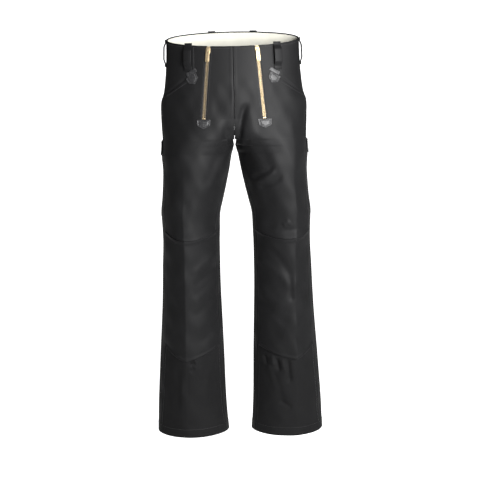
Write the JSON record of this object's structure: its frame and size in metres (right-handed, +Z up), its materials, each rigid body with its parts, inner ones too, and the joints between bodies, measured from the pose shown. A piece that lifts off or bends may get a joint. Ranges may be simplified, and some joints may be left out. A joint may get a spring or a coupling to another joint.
{
  "type": "work trousers",
  "caption": "Flared work trousers with a drop-front flap between two exposed metal zips, knee panels, slash pockets, belt loops and small leather patches.",
  "frame": {"origin": "middle of the waist opening, level with the waist at the side seams", "axes": "+Z up, out of the waist; -Y is the front; +X is the wearer's left"},
  "size_m": [0.492, 0.2367, 1.1731],
  "materials": {
    "cloth": "matt black moleskin with a soft sheen",
    "lining": "cream cotton twill",
    "leather": "glossy black leather",
    "zip_tape": "black woven tape",
    "brass": "polished brass"
  },
  "bodies": {
    "trousers": {"front_panel_left": "cloth", "front_panel_right": "cloth", "hip_panel_left": "cloth", "hip_panel_right": "cloth", "back_panel_left": "cloth", "back_panel_right": "cloth", "knee_panel_left": "cloth", "knee_panel_right": "cloth", "hem_facing_left": "cloth", "hem_facing_right": "cloth", "waist_lining": "lining", "pocket_bag_left": "lining", "pocket_bag_right": "lining", "ruler_pocket_left": "cloth", "ruler_pocket_right": "cloth", "seat_pocket_left": "cloth", "seat_pocket_right": "cloth", "front_loop_left": "cloth", "front_loop_right": "cloth", "side_loop_left": "cloth", "side_loop_right": "cloth", "back_loop_left": "cloth", "back_loop_right": "cloth", "zip_tape_left": "zip_tape", "zip_tape_right": "zip_tape", "zip_teeth_left": "brass", "zip_teeth_right": "brass", "foot_tapes": "zip_tape", "foot_teeth": "brass", "bottom_stop_left": "brass", "bottom_stop_right": "brass", "top_stops": "brass", "zip_end_patch_left": "leather", "zip_end_patch_right": "leather", "pocket_patch_left": "leather", "pocket_patch_right": "leather", "pocket_bar_left": "leather", "pocket_bar_right": "leather", "ruler_patch_left": "leather", "ruler_patch_right": "leather"},
    "flap": {"flap_left": "cloth", "flap_right": "cloth", "flap_lining": "lining", "flap_tape_left": "zip_tape", "flap_tape_right": "zip_tape", "flap_teeth_left": "brass", "flap_teeth_right": "brass", "flap_stops": "brass"},
    "slider_left": {"slider_left": "brass"},
    "slider_right": {"slider_right": "brass"},
    "pull_left": {"pull_left": "brass"},
    "pull_right": {"pull_right": "brass"}
  },
  "joints": [
    {"name": "flap_fold", "type": "hinge", "parent": "trousers", "child": "flap", "pos_m": [0, -0.09738, -0.195], "axis": [1, 0, 0], "range_deg": [0, 150]},
    {"name": "slider_left_slide", "type": "slide", "parent": "trousers", "child": "slider_left", "axis": [0.0885, -0.0997, -0.9911], "range_m": [0, 0.17573]},
    {"name": "pull_left_swing", "type": "hinge", "parent": "slider_left", "child": "pull_left", "pos_m": [0.06903, -0.08037, -0.03452], "axis": [0.9785, 0.1947, 0.0678], "range_deg": [-150, 0]},
    {"name": "slider_right_slide", "type": "slide", "parent": "trousers", "child": "slider_right", "axis": [-0.0885, -0.0997, -0.9911], "range_m": [0, 0.17573]},
    {"name": "pull_right_swing", "type": "hinge", "parent": "slider_right", "child": "pull_right", "pos_m": [-0.06903, -0.08037, -0.03452], "axis": [0.9785, -0.1947, -0.0678], "range_deg": [-150, 0]}
  ]
}
